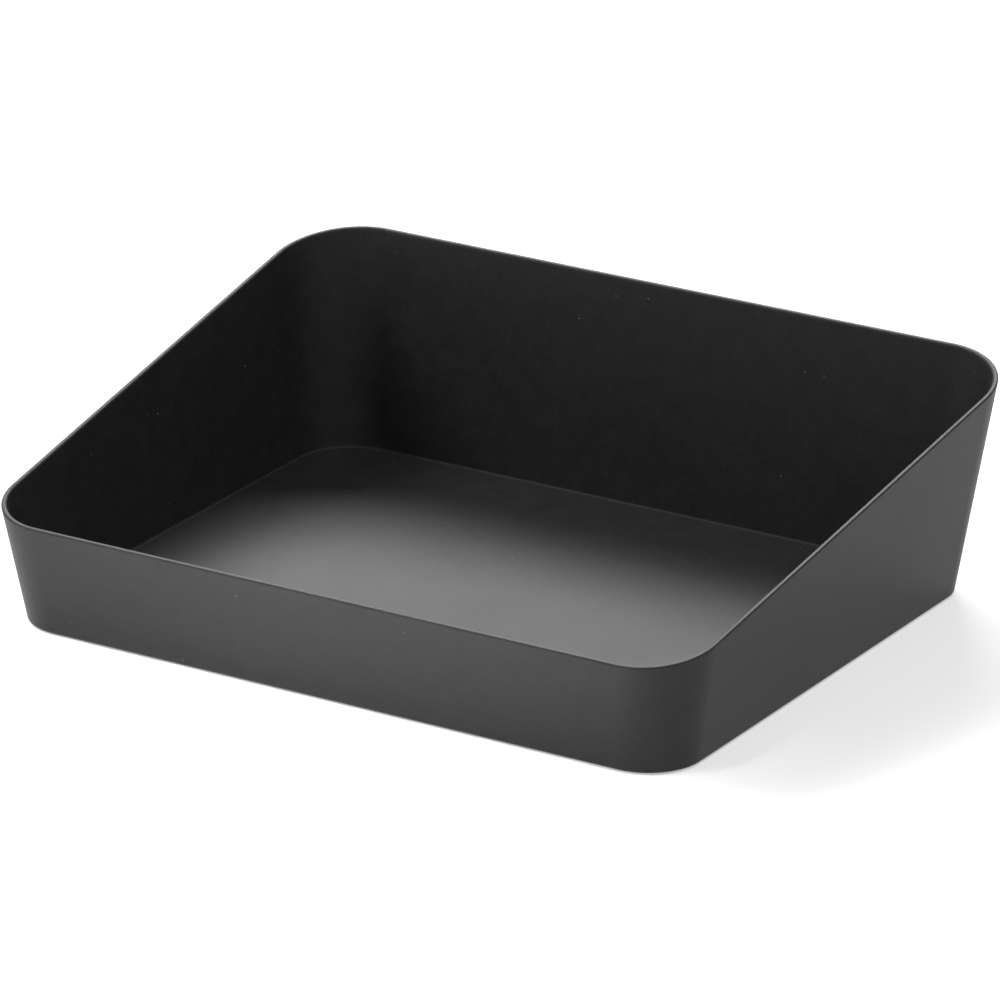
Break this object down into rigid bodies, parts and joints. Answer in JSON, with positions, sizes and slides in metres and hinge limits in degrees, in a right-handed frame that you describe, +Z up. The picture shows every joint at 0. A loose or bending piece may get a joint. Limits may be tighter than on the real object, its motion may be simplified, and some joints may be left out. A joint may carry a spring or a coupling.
{
  "type": "open tray",
  "caption": "Open moulded tray with a low front, a high back and straight sloping side rims, standing on thin anti-slip pads.",
  "frame": {"origin": "on the resting surface, under the middle of the tray's outline", "axes": "+X to the right along the tray's width, +Y from the low front wall to the high back wall, +Z up out of the tray"},
  "size_m": [0.3294, 0.2584, 0.0933],
  "materials": {
    "tray_plastic": "matt black moulded plastic with a very fine grain",
    "pad_rubber": "dull dark elastomer"
  },
  "bodies": {
    "root": {"tray_shell": "tray_plastic", "foot_front_left": "pad_rubber", "foot_front_right": "pad_rubber", "foot_back_left": "pad_rubber", "foot_back_right": "pad_rubber"}
  },
  "joints": []
}
